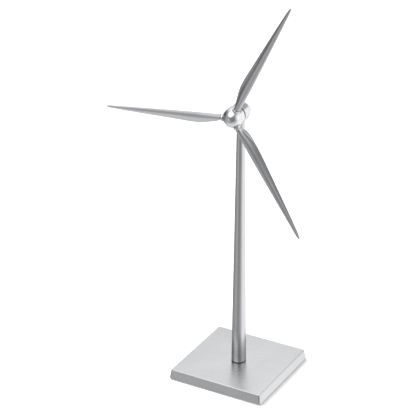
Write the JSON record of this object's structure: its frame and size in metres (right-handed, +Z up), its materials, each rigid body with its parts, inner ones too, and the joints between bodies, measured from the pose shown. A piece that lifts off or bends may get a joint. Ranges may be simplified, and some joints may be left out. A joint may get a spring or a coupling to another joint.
{
  "type": "desktop wind turbine ornament",
  "caption": "Satin metal desk ornament of a wind turbine: a square magnetic base that holds paper clips, a tapered tower, and a rotor that spins in a head on the tower top.",
  "frame": {"origin": "centre of the pad's underside, where the ornament rests on the table, on the tower's axis", "axes": "+Z up along the tower, -Y towards the front of the base, which the rotor looks along but for the head's small turn, +X to the right seen from the front"},
  "size_m": [0.1011, 0.0514, 0.1997],
  "materials": {
    "base_metal": "satin",
    "tower_metal": "satin",
    "blade_metal": "satin",
    "nacelle_metal": "satin",
    "hub_metal": "polished",
    "collar_metal": "gloss",
    "plain_steel": "satin",
    "bush_brass": "satin",
    "magnet_black": "matte",
    "pad_foam": "matte",
    "seal_rubber": "satin",
    "washer_plastic": "satin"
  },
  "bodies": {
    "stand": {"base_pad": "pad_foam", "base_block": "base_metal", "backing_plate": "plain_steel", "ring_magnet": "magnet_black", "tower_screw_washer": "plain_steel", "tower_screw": "plain_steel", "tower": "tower_metal", "yaw_pin": "plain_steel", "yaw_o_ring": "seal_rubber"},
    "head": {"yaw_friction_washer": "washer_plastic", "nacelle_body": "nacelle_metal", "front_bush": "bush_brass", "rear_bush": "bush_brass", "shaft_lock_screw": "plain_steel"},
    "rotor": {"rotor_shaft": "plain_steel", "thrust_washer": "washer_plastic", "hub": "hub_metal", "blade_1": "blade_metal", "blade_2": "blade_metal", "blade_3": "blade_metal", "blade_collar_1": "collar_metal", "blade_collar_2": "collar_metal", "blade_collar_3": "collar_metal"}
  },
  "joints": [
    {"name": "head_yaw", "type": "hinge", "parent": "stand", "child": "head", "pos_m": [0, 0, 0.1413], "axis": [0, 0, 1], "continuous": true},
    {"name": "rotor_spin", "type": "hinge", "parent": "head", "child": "rotor", "pos_m": [0.00065, -0.00868, 0.1413], "axis": [0.0746, -0.9972, 0], "continuous": true}
  ]
}
